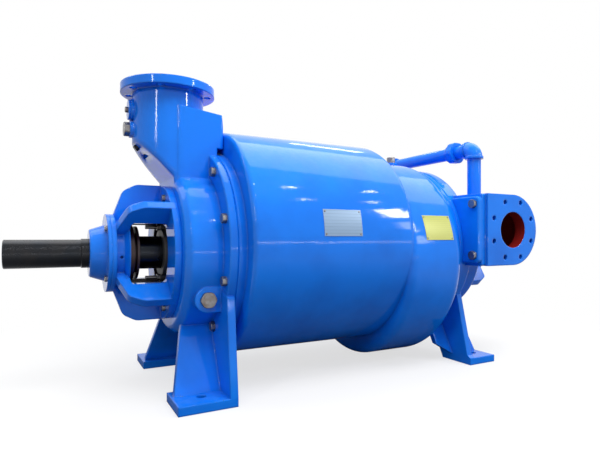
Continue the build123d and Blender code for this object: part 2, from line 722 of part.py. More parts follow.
def make_rotor(x0, x1, shroud_at, cone_tip_x, cone_root_x, key_span):
    """Bladed wheel: hub, swept blades, a full shroud at one end and a ring at the open end."""
    low, high = min(x0, x1), max(x0, x1)
    hub_low, hub_high = (cone_tip_x + 8, high) if shroud_at == high else (low, cone_tip_x - 8)
    rotor = tube_x(hub_low, hub_high, rotor_hub_r)
    outline = blade_outline()
    blade = prism_x(outline, low, high)
    for i in range(blade_count):
        rotor += Pos(0, 0, axis_height) * Rot(i * 360.0 / blade_count, 0, 0) * blade
    if shroud_at == high:
        rotor += tube_x(high - shroud_thick, high, rotor_r)
        rotor += tube_x(low, low + shroud_thick, rotor_r, ring_inner_r)
    else:
        rotor += tube_x(low, low + shroud_thick, rotor_r)
        rotor += tube_x(high - shroud_thick, high, rotor_r, ring_inner_r)
    slope = (cone_root_r - cone_tip_r) / abs(cone_tip_x - cone_root_x)
    sign = 1 if cone_root_x < cone_tip_x else -1
    start = cone_root_x - sign * 10
    pocket = turned([(start, 0), (start, cone_root_r + cone_gap + slope * 10),
                     (cone_tip_x + sign * 4, cone_tip_r + cone_gap - slope * 4), (cone_tip_x + sign * 4, 0)])
    rotor -= pocket
    rotor -= tube_x(low - 1, high + 1, rotor_seat_r)
    rotor -= block(key_span[0], key_span[1], -rotor_key_width / 2, rotor_key_width / 2, axis_height,
                   axis_height + rotor_seat_r + rotor_key_height / 2)
    return one(rotor)


def make_cone(root_x, tip_x, side, flange_thick):
    """Hollow port cone with a flange, a shaft tube and a port in its upper and lower wall."""
    flange_end = root_x + side * flange_thick
    cone = turned([(root_x, cone_tube_bore_r), (root_x, cone_flange_r), (flange_end, cone_flange_r),
                   (flange_end, cone_root_r), (tip_x, cone_tip_r), (tip_x, cone_tube_bore_r)])
    room = turned([(root_x - side, cone_tube_r), (root_x - side, cone_root_r - cone_wall - 4),
                   (flange_end, cone_root_r - cone_wall - 2), (tip_x - side * 10, cone_tip_r - cone_wall),
                   (tip_x - side * 10, cone_tube_r)])
    web_low, web_high = min(root_x, tip_x) - 5, max(root_x, tip_x) + 5
    room -= block(web_low, web_high, -200, 200, axis_height - 6, axis_height + 6)
    cone -= room
    port_a = root_x + side * 50
    port_b = tip_x - side * 26
    upper = block(min(port_a, port_b), max(port_a, port_b), -62, 34, axis_height + 72, axis_height + 170)
    lower = block(min(port_a, port_b), max(port_a, port_b), -20, 46, axis_height - 170, axis_height - 72)
    cone -= upper
    cone -= lower
    return one(cone)


def make_sleeve():
    """Shaft sleeve under the packing, from the bearing to the shaft shoulder."""
    return one(tube_x(sleeve_x0, sleeve_x1, sleeve_r, sleeve_seat_r))


def make_slinger():
    """Water slinger ring clamped on the sleeve."""
    slinger = tube_x(slinger_x - 10, slinger_x + 4, sleeve_r + 10, sleeve_r)
    slinger += tube_x(slinger_x - slinger_thick / 2, slinger_x + slinger_thick / 2, slinger_r, sleeve_r)
    return one(slinger)


def ball_track():
    """A ring that cuts the ball groove into both races."""
    middle = (bearing_x0 + bearing_x1) / 2
    pitch_r = (bearing_bore_r + bearing_outer_r) / 2
    return Pos(middle, 0, axis_height) * Rot(0, 90, 0) * Torus(pitch_r, ball_r + shaft_fit)


def make_inner_race():
    pitch_r = (bearing_bore_r + bearing_outer_r) / 2
    return one(tube_x(bearing_x0, bearing_x1, pitch_r - cage_half_thick - 3, bearing_bore_r) - ball_track())


def make_outer_race():
    pitch_r = (bearing_bore_r + bearing_outer_r) / 2
    return one(tube_x(bearing_x0, bearing_x1, bearing_outer_r, pitch_r + cage_half_thick + 3) - ball_track())


def make_ball_set():
    """Balls held in a ring cage, as one turning piece."""
    middle = (bearing_x0 + bearing_x1) / 2
    pitch_r = (bearing_bore_r + bearing_outer_r) / 2
    cage = tube_x(middle - cage_half_width, middle + cage_half_width, pitch_r + cage_half_thick,
                  pitch_r - cage_half_thick)
    for i in range(ball_count):
        y, z = around(i * 360.0 / ball_count, pitch_r)
        cage += Pos(middle, y, z) * Sphere(ball_r)
    return one(cage)


def make_locknut():
    """Slotted nut that holds the inner race."""
    nut = tube_x(bearing_x0 - 14, bearing_x0, 54, bearing_bore_r)
    for degrees in (0, 90, 180, 270):
        y, z = around(degrees, 54)
        nut -= Pos(bearing_x0 - 7, y, z) * Rot(degrees, 0, 0) * Box(20, 8, 9)
    return one(nut)


# sealing
def packing_places():
    """Start of every ring in the stuffing box, from the bottom outwards."""
    places = []
    x = stuffing_bottom_x
    for width in (packing_width, packing_width, lantern_width, packing_width, packing_width):
        places.append((x - width, x, width == lantern_width))
        x -= width
    return places


def make_packing():
    plain = [place for place in packing_places() if not place[2]]
    rings = [tube_x(*place[:2], stuffing_bore_r, sleeve_r + running_gap) for place in plain]
    return group(rings)


def make_lantern():
    """Lantern ring with a groove and radial holes for the seal water."""
    a, b = [place[:2] for place in packing_places() if place[2]][0]
    ring = tube_x(a, b, stuffing_bore_r, sleeve_r + running_gap)
    ring -= tube_x(a + 4, b - 4, stuffing_bore_r + 1, stuffing_bore_r - 4)
    for degrees in range(0, 360, 60):
        y, z = around(degrees, (stuffing_bore_r + sleeve_r) / 2)
        ring -= Pos((a + b) / 2, y, z) * Rot(90 - degrees, 0, 0) * Cylinder(2, 30)
    return one(ring)


def make_gland():
    """Oval gland plate with its nose in the stuffing box."""
    middle = (gland_flange_x0 + gland_flange_x1) / 2
    thick = gland_flange_x1 - gland_flange_x0
    plate = Pos(middle, 0, axis_height) * Rot(0, 90, 0) * Cylinder(74, thick)
    plate += block(gland_flange_x0, gland_flange_x1, -20, 20, axis_height - gland_half_height + 20,
                   axis_height + gland_half_height - 20)
    for side in (-1, 1):
        plate += tube_x(gland_flange_x0, gland_flange_x1, 20, 0, 0, axis_height + side * (gland_half_height - 20))
    nose_end = packing_places()[-1][0]
    plate += tube_x(gland_flange_x1, nose_end, gland_nose_r)
    plate -= tube_x(gland_flange_x0 - 1, nose_end + 1, gland_bore_r)
    for side in (-1, 1):
        plate -= tube_x(gland_flange_x0 - 1, gland_flange_x1 + 1, gland_stud_r + clearance, 0, 0,
                        axis_height + side * gland_stud_z)
    return one(plate)


def make_gland_studs():
    """Two studs with their nuts."""
    studs = []
    for side in (-1, 1):
        z = axis_height + side * gland_stud_z
        stud = tube_x(gland_flange_x0 - gland_stud_reach, head_face_x + 18, gland_stud_r, 0, 0, z)
        stud += facing(hexagon(19, 10), gland_flange_x0, 0, z, "-X")
        studs.append(stud)
    return studs


# fasteners and plugs
def make_joint_bolts():
    """Hex bolts of both head joints."""
    bolts = []
    for d in joint_angles():
        if abs(d - 90) > 1:
            y, z = on_joint(d)
            reach = drive_joint_x - head_flange_x0 + joint_bolt_depth - 4
            bolt = hex_bolt(joint_bolt_r, reach, joint_bolt_head, joint_bolt_flats)
            bolts.append(facing(bolt, head_flange_x0, y, z, "-X"))
    for d in idle_joint_angles():
        y, z = on_joint(d)
        reach = idle_flange_x1 - idle_joint_x + joint_bolt_depth - 4
        bolt = hex_bolt(joint_bolt_r, reach, joint_bolt_head, joint_bolt_flats)
        bolts.append(facing(bolt, idle_flange_x1, y, z, "+X"))
    return group(bolts)


def make_bracket_bolts():
    bolts = []
    for d in bracket_bolt_degs:
        y, z = around(d, bracket_bolt_circle_r)
        bolt = hex_bolt(bracket_bolt_r, bracket_bolt_reach, bracket_bolt_head, bracket_bolt_flats)
        bolt = facing(bolt, bracket_flange_x0, y, z, "-X")
        bolts.append(bolt)
        bolts.append(mirrored(bolt))
    return group(bolts)


def make_cap_bolts():
    bolts = []
    for d in cap_bolt_degs:
        y, z = around(d, cap_bolt_circle_r)
        bolt = hex_bolt(cap_bolt_r, cap_bolt_reach, cap_bolt_head, cap_bolt_flats)
        bolt = facing(bolt, cap_flange_x0, y, z, "-X")
        bolts.append(bolt)
        bolts.append(mirrored(bolt))
    return group(bolts)


def make_box_cover():
    """Plate on the side of the discharge box, cut round the head's rim."""
    low_z = discharge_z - discharge_r + 10
    high_z = discharge_z + discharge_r - 10
    plate = block(cover_x, box_left_x, cover_outer_y, cover_inner_y, low_z, high_z)
    plate = fillet(plate.edges().filter_by(Axis.X).sort_by(Axis.Y)[:2], 16)
    plate = fillet(plate.edges().filter_by(Axis.Z).group_by(Axis.Y)[0].sort_by(Axis.X)[0], 5)
    plate -= tube_x(cover_x - 1, box_left_x + 1, rim_r + 0.5, 0, 0, rim_z)
    for z in cover_bolt_z:
        plate -= tube_x(cover_x - 1, box_left_x + 1, cover_bolt_r + clearance, 0, cover_bolt_y, z)
    return one(max(plate.solids(), key=lambda s: s.volume))


def make_cover_bolts():
    reach = box_left_x - cover_x + cover_bolt_grip
    bolt = hex_bolt(cover_bolt_r, reach, cover_bolt_head, cover_bolt_flats)
    bolts = [facing(bolt, cover_x, cover_bolt_y, z, "-X") for z in cover_bolt_z]
    return group(bolts)


def make_nozzle_cover():
    """Small round cover on the riser's drive-side pad."""
    cover = tube_x(nozzle_pad_x - 4, nozzle_pad_x + 2, nozzle_cover_r, 0, 0, nozzle_cover_z)
    return one(cover)


def make_nozzle_cover_screw():
    return one(facing(hexagon(16, 8), nozzle_pad_x - 4, 0, nozzle_cover_z, "-X"))


def make_nozzle_plug():
    """Large pipe plug under the cover."""
    return one(facing(hexagon(nozzle_plug_flats, 16), nozzle_pad_x, 0, nozzle_plug_z, "-X"))


def make_corner_plug():
    """Small plug low on the riser, at the start of its slanted underside."""
    run = head_face_x - underside_x0
    x = underside_x0 + corner_plug_share * run
    tilt = math.degrees(math.atan2(underside_z0 - underside_z1, run)) - 180
    return one(Pos(x, 0, underside_z(x)) * Rot(0, tilt, 0) * hexagon(18, 10))


def make_head_plugs():
    """Drain plugs: one low on each side of the drive head."""
    plugs = []
    for side in (-1, 1):
        turn = Rot(90, 0, 0) if side < 0 else Rot(-90, 0, 0)
        plugs.append(Pos(head_plug_x, side * head_boss_y, head_plug_z) * turn * hexagon(head_plug_flats, 12))
    return group(plugs)


def make_vent_plug():
    boss_top = second_barrel_z + second_barrel_r + vent_boss_height
    plug = Pos(vent_x, 0, boss_top) * hexagon(32, 24)
    plug += tube_z(vent_x, 0, boss_top - 20, boss_top, 12)
    return one(plug)


# bypass pipe
def bent_rod(x, y, z, side, radius, reach):
    """A round rod that comes up along Z, bends and leaves along Y."""
    low = (x, y, z - reach)
    corner0 = (x, y, z - fitting_bend_r)
    corner1 = (x, y + side * fitting_bend_r, z)
    far = (x, y + side * reach, z)
    middle = (x, y + side * fitting_bend_r * (1 - math.sqrt(0.5)), z - fitting_bend_r * (1 - math.sqrt(0.5)))
    path = Wire([Edge.make_line(low, corner0), Edge.make_three_point_arc(corner0, middle, corner1),
                 Edge.make_line(corner1, far)])
    section = Plane(origin=low, z_dir=(0, 0, 1)) * Circle(radius)
    return sweep(section, path=path)


def elbow(x, y, z, side):
    """Socket elbow between a pipe below and a pipe toward +Y (side 1) or -Y (side -1)."""
    grip = fitting_reach - fitting_grip
    body = bent_rod(x, y, z, side, fitting_r, fitting_reach)
    body += tube_z(x, y, z - fitting_reach, z - fitting_reach + fitting_collar, fitting_r + 3)
    body += tube_y(x, z, y + side * (fitting_reach - fitting_collar), y + side * fitting_reach, fitting_r + 3)
    body -= bent_rod(x, y, z, side, pipe_bore_r, fitting_reach + 1)
    body -= tube_z(x, y, z - fitting_reach - 1, z - grip, pipe_r)
    body -= tube_y(x, z, y + side * grip, y + side * (fitting_reach + 1), pipe_r)
    return one(body)


def make_riser_pipe():
    base = discharge_z + discharge_r - 12
    return one(tube_z(bypass_x, riser_y, base, bypass_z - fitting_reach + fitting_grip, pipe_r, pipe_bore_r))


def make_nipple():
    start = riser_y + fitting_reach - fitting_grip
    return one(tube_y(bypass_x, bypass_z, start, union_y - 4, pipe_r, pipe_bore_r))


def make_union_body():
    """Union half on the long pipe, with a hexagon."""
    body = tube_y(bypass_x, bypass_z, union_y - 4, union_y + union_half_length, fitting_r, pipe_bore_r)
    hexa = facing(hexagon(58, 14), bypass_x, union_y + union_half_length, bypass_z, "-Y")
    body += hexa - tube_y(bypass_x, bypass_z, union_y - 30, union_y + 60, pipe_bore_r)
    body -= tube_y(bypass_x, bypass_z, union_y + 4, union_y + union_half_length + 1, pipe_r)
    return one(body)


def make_union_nut():
    nut = facing(hexagon(union_nut_flats, 26), bypass_x, union_y + 6, bypass_z, "-Y")
    nut -= tube_y(bypass_x, bypass_z, union_y - 4, union_y + 8, fitting_r)
    nut -= tube_y(bypass_x, bypass_z, union_y - 40, union_y - 2, pipe_r)
    return one(nut)


def make_long_pipe():
    end = far_elbow_y - fitting_reach + fitting_grip
    return one(tube_y(bypass_x, bypass_z, union_y + 4, end, pipe_r, pipe_bore_r))


def make_drop_pipe():
    top_z = bypass_z - fitting_reach + fitting_grip
    return one(tube_z(bypass_x, far_elbow_y, drop_boss_z - 16, top_z, pipe_r, pipe_bore_r))


# plates
def curved_plate(x0, x1, half_height, z_mid, barrel_radius, barrel_z):
    """Thin plate bent round the near side of a barrel."""
    outer = tube_x(x0, x1, barrel_radius + plate_thick, barrel_radius + plate_seat_gap, 0, barrel_z)
    keep = block(x0 - 1, x1 + 1, -barrel_radius - 40, 0, z_mid - half_height, z_mid + half_height)
    return one(outer & keep)


def plate_rivets(x0, x1, half_height, z_mid, barrel_radius, barrel_z):
    """Domed pins at the four corners of a plate."""
    pins = []
    for x in (x0 + 6, x1 - 6):
        for z in (z_mid - half_height + 6, z_mid + half_height - 6):
            lift = math.asin((z - barrel_z) / barrel_radius)
            r = barrel_radius + plate_thick
            y = -r * math.cos(lift)
            pin_z = barrel_z + r * math.sin(lift)
            turn = Rot(90 - math.degrees(lift), 0, 0)
            dome = Cone(3.2, 2.0, 1.4, align=(Align.CENTER, Align.CENTER, Align.MIN))
            pins.append(Pos(x, y, pin_z) * turn * dome)
    return pins


def build():
    nodes = {}
    nodes["body"] = make_body()
    nodes["drive_head"] = make_drive_head()
    nodes["idle_head"] = make_idle_head()
    bracket = make_bracket()
    nodes["drive_bracket"] = bracket
    nodes["idle_bracket"] = one(mirrored(bracket))
    nodes["drive_cap"] = make_cap(False)
    nodes["idle_cap"] = one(mirrored(make_cap(True)))
    for name, maker in (("inner_cover", make_inner_cover), ("sleeve", make_sleeve),
                        ("slinger", make_slinger), ("inner_race", make_inner_race),
                        ("outer_race", make_outer_race), ("ball_set", make_ball_set),
                        ("locknut", make_locknut), ("lantern", make_lantern), ("gland", make_gland)):
        piece = maker()
        nodes["drive_" + name] = piece
        nodes["idle_" + name] = one(mirrored(piece))
    packing = make_packing()
    nodes["drive_packing"] = packing
    nodes["idle_packing"] = group([mirrored(packing)])
    studs = make_gland_studs()
    nodes["gland_studs"] = group(studs + [mirrored(s) for s in studs])
    nodes["shaft"] = make_shaft()
    nodes["rotor_keys"] = make_rotor_keys()
    nodes["first_rotor"] = make_rotor(first_rotor_x0, first_rotor_x1, first_rotor_x1, first_cone_tip_x,
                                      drive_joint_x + first_inset - cone_flange_setback, rotor_key_spans[0])
    nodes["second_rotor"] = make_rotor(second_rotor_x0, second_rotor_x1, second_rotor_x0, second_cone_tip_x,
                                       idle_joint_x - second_inset + cone_flange_setback, rotor_key_spans[1])
    nodes["first_cone"] = make_cone(drive_joint_x, first_cone_tip_x, 1, first_inset - cone_flange_setback)
    nodes["second_cone"] = make_cone(idle_joint_x, second_cone_tip_x, -1, second_inset - cone_flange_setback)
    nodes["joint_bolts"] = make_joint_bolts()
    nodes["bracket_bolts"] = make_bracket_bolts()
    nodes["cap_bolts"] = make_cap_bolts()
    nodes["box_cover"] = make_box_cover()
    nodes["box_cover_bolts"] = make_cover_bolts()
    nodes["nozzle_cover"] = make_nozzle_cover()
    nodes["nozzle_cover_screw"] = make_nozzle_cover_screw()
    nodes["nozzle_plug"] = make_nozzle_plug()
    nodes["corner_plug"] = make_corner_plug()
    nodes["head_plugs"] = make_head_plugs()
    nodes["vent_plug"] = make_vent_plug()
    nodes["riser_pipe"] = make_riser_pipe()
    nodes["near_elbow"] = elbow(bypass_x, riser_y, bypass_z, 1)
    nodes["nipple"] = make_nipple()
    nodes["union_nut"] = make_union_nut()
    nodes["union_body"] = make_union_body()
    nodes["long_pipe"] = make_long_pipe()
    nodes["far_elbow"] = elbow(bypass_x, far_elbow_y, bypass_z, -1)
    nodes["drop_pipe"] = make_drop_pipe()
    first_plate = (nameplate_x0, nameplate_x1, nameplate_half_height, nameplate_z, first_barrel_r, first_barrel_z)
    second_plate = (spec_x0, spec_x1, spec_half_height, spec_z, second_barrel_r, second_barrel_z)
    nodes["nameplate"] = curved_plate(*first_plate)
    nodes["spec_plate"] = curved_plate(*second_plate)
    nodes["plate_rivets"] = group(plate_rivets(*first_plate) + plate_rivets(*second_plate))
    return nodes


os.makedirs("parts", exist_ok=True)
for node_name, node_shape in build().items():
    node_shape.label = node_name
    export_step(node_shape, "parts/%s.step" % node_name)
    print(node_name, len(node_shape.solids()), round(node_shape.volume / 1e6, 3), "dm3")
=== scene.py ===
"""Finishes and studio of a two-stage liquid ring vacuum pump.

Lengths are in metres in the frame of the part: X along the shaft from the drive end,
+Z up, the floor at z = 0 and the origin between the four foot bolt holes.
"""

import json
import math

import bmesh
import bpy
from bpy.props import FloatProperty, FloatVectorProperty, PointerProperty
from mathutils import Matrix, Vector

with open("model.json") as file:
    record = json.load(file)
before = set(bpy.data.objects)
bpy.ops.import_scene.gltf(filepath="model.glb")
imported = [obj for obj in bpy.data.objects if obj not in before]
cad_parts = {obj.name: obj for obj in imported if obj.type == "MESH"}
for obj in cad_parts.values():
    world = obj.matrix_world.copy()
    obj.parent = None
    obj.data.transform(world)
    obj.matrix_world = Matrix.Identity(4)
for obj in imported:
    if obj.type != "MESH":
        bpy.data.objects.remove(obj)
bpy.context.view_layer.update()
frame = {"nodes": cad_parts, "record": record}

bl_info = {
    "name": "Liquid Ring Pump Finishes",
    "version": (1, 0, 0),
    "blender": (4, 5, 0),
    "location": "3D View > Sidebar > Pump",
    "description": "Paints the castings, dresses the metal parts and sets the studio",
    "category": "Object",
}


def mount_seat(name):
    """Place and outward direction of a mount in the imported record."""
    row = next(row for row in frame["record"]["mounts"] if row["name"] == name)
    return Vector(row["pos_m"]), Vector(row["axis"])


# nodes by finish
ENAMELLED = (
    "body", "drive_cap", "idle_cap", "box_cover", "nozzle_cover", "riser_pipe", "near_elbow", "nipple",
    "union_nut", "union_body", "long_pipe", "far_elbow", "drop_pipe",
)
TURNED = ("shaft", "drive_sleeve", "idle_sleeve", "drive_locknut", "idle_locknut", "rotor_keys")
CAST_BARE = ("first_rotor", "second_rotor", "first_cone", "second_cone", "drive_gland", "idle_gland")
PRIMED = ("drive_inner_cover", "idle_inner_cover", "drive_slinger", "idle_slinger")
GROUND = (
    "drive_inner_race", "idle_inner_race", "drive_outer_race", "idle_outer_race",
    "drive_ball_set", "idle_ball_set",
)
PLATED = (
    "joint_bolts", "bracket_bolts", "cap_bolts", "box_cover_bolts", "gland_studs", "nozzle_cover_screw",
    "nozzle_plug", "head_plugs", "vent_plug", "plate_rivets",
)

# round hollows left in primer: middle of the mouth, radius, the way the mouth faces and depth
SUCTION, SUCTION_FACING = mount_seat("suction_bolts")
DISCHARGE, DISCHARGE_FACING = mount_seat("discharge_bolts")
AXIS_HEIGHT = mount_seat("shaft_end")[0].z
SUCTION_BORE = (SUCTION, 0.0765, SUCTION_FACING, 0.14)
DISCHARGE_BORE = (DISCHARGE, 0.0655, DISCHARGE_FACING, 0.14)
DISCHARGE_ROOM = (Vector((DISCHARGE.x, -0.340, DISCHARGE.z)), 0.0985, DISCHARGE_FACING, 0.092)
DRIVE_SHELL = (Vector((-0.500, 0.0, AXIS_HEIGHT)), 0.1135, Vector((1.0, 0.0, 0.0)), 0.176)
IDLE_SHELL = (Vector((0.526, 0.0, AXIS_HEIGHT)), 0.1135, Vector((-1.0, 0.0, 0.0)), 0.176)

# lowest and highest corner of the square part of the room behind the discharge port
DISCHARGE_CHAMBER = (Vector((0.4775, -0.3415, 0.3900)), Vector((0.5700, -0.1485, 0.5800)))

# slanted underside of the suction riser: its edge rounding, and where that rounding fades in and out
RISER_ROUNDING = 0.030
RISER_FOOT = (0.615, 0.650)
RISER_NECK = (0.790, 0.740)
RISER_BACK = (-0.480, -0.520)

# colours that break up a finish
DUST = (0.32, 0.42, 0.62)
OIL_FILM = (0.026, 0.021, 0.018)
RUST = (0.11, 0.042, 0.018)
STAIN = (0.150, 0.095, 0.062)

# darker and lighter tone of the finishes that no picker sets
GROUND_STEEL = ((0.52, 0.53, 0.55), (0.66, 0.67, 0.69))
GRAPHITE = ((0.03, 0.03, 0.032), (0.10, 0.10, 0.10))
BRONZE = ((0.36, 0.20, 0.07), (0.58, 0.36, 0.13))

# lamps: name, place, the point it looks at, width and height, and the setting with its power
SOFTBOXES = (
    ("overhead softbox", (0.2, 0.5, 3.0), (0.0, -0.1, 0.4), (7.0, 1.8), "key"),
    ("front fill", (-0.1, -1.4, 2.7), (0.0, 0.0, 0.4), (2.4, 1.2), "fill"),
    ("tube behind", (1.5, 1.75, 2.6), (0.0, 0.0, 0.5), (0.8, 0.05), "tube"),
    ("window left", (-2.19, -1.46, 1.45), (-0.547, 0.0, 0.6), (0.14, 0.62), "left"),
    ("window right", (1.75, -2.05, 1.66), (0.15, -0.33, 0.5), (0.23, 0.38), "right"),
    ("pane under the right window", (1.75, -2.05, 1.10), (0.15, -0.33, 0.5), (0.24, 0.30), "pane"),
)
HORIZON_STRIP = ("horizon strip", (0.0, -4.2, 0.44), (0.0, 0.0, 0.44), (7.0, 0.05), "horizon")

# lamps that no gloss mirrors
UNMIRRORED = ("front fill",)

# rows of small ceiling lamps: the row's y, and the x of each lamp
CEILING_ROWS = ((-2.3, (-1.9, -1.1, -0.3, 0.5, 1.3, 2.1)), (-1.5, (-1.5, -0.7, 0.1, 0.9, 1.7)))
CEILING_HEIGHT = 2.6
CEILING_LAMP_SIZE = (0.09, 0.09)

# floor: its size and drop, the distances over which it turns white, and its colours as it is seen and
# as it lights the object from below
FLOOR_HALF_WIDTH = 30.0
FLOOR_DROP = 0.0005
FLOOR_FADE = (0.8, 1.6)
FLOOR_SEEN = (0.90, 0.90, 0.90)
FLOOR_BOUNCE = (0.20, 0.20, 0.21)


def colour_property(name, description, default):
    """A colour picker for one finish."""
    return FloatVectorProperty(name=name, description=description, default=default, size=3,
                               subtype="COLOR", min=0.0, max=1.0)


def power_property(name, description, default):
    """Power of one lamp or row of lamps."""
    return FloatProperty(name=name, description=description, default=default, min=0.0, max=1000.0,
                         unit="POWER")


class PumpFinish(bpy.types.PropertyGroup):
    """Colours and grades of the finishes."""

    enamel: colour_property("Enamel", "Blue machine enamel on every casting", (0.004, 0.195, 0.850))
    # deep enamel colour: thicker enamel where the random tone says so, and painted shade in inner corners
    deep_enamel_and_recess_shade: colour_property("Deep enamel and painted recess shade", "Thicker enamel, and painted shade in recesses", (0.003, 0.088, 0.500))
    oxide: colour_property("Red oxide", "Primer left in the ports", (0.190, 0.009, 0.008))
    primer: colour_property("Dark primer", "Maroon primer around the glands", (0.022, 0.006, 0.007))
    steel: colour_property("Oiled steel", "Shaft steel under rust-proofing oil", (0.008, 0.013, 0.021))
    iron: colour_property("Bare iron", "Unpainted cast iron", (0.090, 0.088, 0.086))
    zinc: colour_property("Zinc plate", "Plated bolts and plugs", (0.270, 0.265, 0.270))
    silver_plate: colour_property("Silver plate", "Satin aluminium plate", (0.225, 0.335, 0.485))
    yellow_plate: colour_property("Yellow plate", "Painted plate", (0.450, 0.475, 0.105))
    gloss: FloatProperty(name="Enamel roughness", description="Roughness of fresh enamel", default=0.065,
                         min=0.0, max=1.0, subtype="FACTOR")
    edge: FloatProperty(name="Edge rounding", description="Radius to which casting edges look rounded",
                        default=0.006, min=0.0, max=0.02, unit="LENGTH")


class PumpStudio(bpy.types.PropertyGroup):
    """Camera and light of the studio."""

    camera_place: FloatVectorProperty(name="Camera", description="Place of the lens", size=3,
                                      default=(-0.8773, -1.5098, 0.4539), subtype="TRANSLATION",
                                      unit="LENGTH")
    heading: FloatProperty(name="Heading", description="Turn of the camera to the right of +Y",
                           default=math.radians(28.07), subtype="ANGLE")
    lens: FloatProperty(name="Lens", description="Focal length on a 36 mm wide frame", default=28.32,
                        min=10.0, max=200.0)
    shift: FloatProperty(name="Shift", description="Sideways shift of the frame, in frame widths",
                         default=-0.002, min=-0.1, max=0.1)
    sky: FloatProperty(name="Sky", description="Strength of the even light around the object",
                       default=0.32, min=0.0, max=3.0)
    key: power_property("Key light", "Power of the large overhead softbox", 88.0)
    fill: power_property("Front fill", "Power of the fill light above the front", 56.0)
    tube: power_property("Tube behind", "Power of the lamp tube behind the object", 2.5)
    left: power_property("Left window", "Power of the tall window on the left", 9.0)
    right: power_property("Right window", "Power of the window on the right", 14.0)
    pane: power_property("Lower pane", "Power of the dim pane under the right window", 2.0)
    lamp: power_property("Ceiling lamps", "Power of each small ceiling lamp", 1.1)
    horizon: power_property("Horizon strip", "Power of the long low strip of light", 15.0)
    floor_lift: FloatProperty(name="Floor lift", description="Share of pure white in the seen floor",
                              default=0.68, min=0.0, max=1.0, subtype="FACTOR")


# shader building
def new_material(name):
    """An empty node material and its Principled shader."""
    material = bpy.data.materials.new(name)
    material.use_nodes = True
    tree = material.node_tree
    tree.nodes.clear()
    shader = tree.nodes.new("ShaderNodeBsdfPrincipled")
    output = tree.nodes.new("ShaderNodeOutputMaterial")
    tree.links.new(shader.outputs["BSDF"], output.inputs["Surface"])
    return material, tree, shader


def add_node(tree, kind, **values):
    """A node with its properties and unlinked inputs set."""
    node = tree.nodes.new(kind)
    for key, value in values.items():
        if key in node.inputs:
            node.inputs[key].default_value = value
        else:
            setattr(node, key, value)
    return node


def opaque(colour):
    """A colour with full alpha."""
    return (*colour, 1.0)


def scaled(colour, share):
    """A colour made darker or lighter."""
    return tuple(part * share for part in colour)


def object_point(tree):
    """The shaded point in the object's own coordinates, which are the part's."""
    return tree.nodes.new("ShaderNodeTexCoord").outputs["Object"]


def parts_of(tree, vector):
    """The X, Y and Z sockets of a vector."""
    split = tree.nodes.new("ShaderNodeSeparateXYZ")
    tree.links.new(vector, split.inputs["Vector"])
    return split.outputs


def vector_node(tree, operation, first, second=None):
    """A Vector Math node on a socket and, where one is given, a fixed vector."""
    node = add_node(tree, "ShaderNodeVectorMath", operation=operation)
    tree.links.new(first, node.inputs[0])
    if second is not None:
        node.inputs[1].default_value = second
    return node


def math_node(tree, operation, first, second=None, clamp=False):
    """A Math node on one or two sockets or numbers."""
    node = add_node(tree, "ShaderNodeMath", operation=operation, use_clamp=clamp)
    for i, value in enumerate((first, second)):
        if isinstance(value, (int, float)):
            node.inputs[i].default_value = value
        elif value is not None:
            tree.links.new(value, node.inputs[i])
    return node.outputs[0]


def ranged(tree, value, low, high, out_low=0.0, out_high=1.0):
    """A value moved from one range to another."""
    node = tree.nodes.new("ShaderNodeMapRange")
    node.inputs["From Min"].default_value = low
    node.inputs["From Max"].default_value = high
    node.inputs["To Min"].default_value = out_low
    node.inputs["To Max"].default_value = out_high
    tree.links.new(value, node.inputs["Value"])
    return node.outputs["Result"]


def mixed(tree, factor, first, second):
    """A colour between two colours or sockets."""
    node = add_node(tree, "ShaderNodeMix", data_type="RGBA")
    tree.links.new(factor, node.inputs["Factor"])
    for name, value in (("A", first), ("B", second)):
        socket = [s for s in node.inputs if s.name == name and s.type == "RGBA"][0]
        if hasattr(value, "links"):
            tree.links.new(value, socket)
        else:
            socket.default_value = opaque(value)
    return [s for s in node.outputs if s.type == "RGBA"][0]


def object_noise(tree, scale, detail=3.0, roughness=0.5, stretch=(1.0, 1.0, 1.0)):
    """Noise fixed to the object, in cycles per metre."""
    mapping = add_node(tree, "ShaderNodeMapping", Scale=stretch)
    noise = add_node(tree, "ShaderNodeTexNoise", Scale=scale, Detail=detail, Roughness=roughness)
    tree.links.new(object_point(tree), mapping.inputs["Vector"])
    tree.links.new(mapping.outputs["Vector"], noise.inputs["Vector"])
    return noise


# shared effects
def group_tree(name, inputs, outputs):
    """A shader node group with named sockets, and its input and output nodes."""
    tree = bpy.data.node_groups.new(name, "ShaderNodeTree")
    for label, default in inputs:
        socket = tree.interface.new_socket(name=label, in_out="INPUT", socket_type="NodeSocketFloat")
        socket.default_value = default
    for label in outputs:
        tree.interface.new_socket(name=label, in_out="OUTPUT", socket_type="NodeSocketFloat")
    return tree, tree.nodes.new("NodeGroupInput"), tree.nodes.new("NodeGroupOutput")


def build_cast_skin_group():
    """Shallow waves of a sand casting under paint, with orange peel on top."""
    tree, entry, result = group_tree(
        "Cast skin",
        [("Wave Scale", 26.0), ("Wave Depth", 1.0), ("Peel Scale", 420.0), ("Peel Depth", 0.12)],
        ["Height"])
    waves = object_noise(tree, 26.0, 4.0, 0.45)
    peel = object_noise(tree, 420.0, 2.0, 0.5)
    tree.links.new(entry.outputs["Wave Scale"], waves.inputs["Scale"])
    tree.links.new(entry.outputs["Peel Scale"], peel.inputs["Scale"])
    low = math_node(tree, "MULTIPLY", waves.outputs["Fac"], entry.outputs["Wave Depth"])
    high = math_node(tree, "MULTIPLY", peel.outputs["Fac"], entry.outputs["Peel Depth"])
    tree.links.new(math_node(tree, "ADD", low, high), result.inputs["Height"])
    return tree


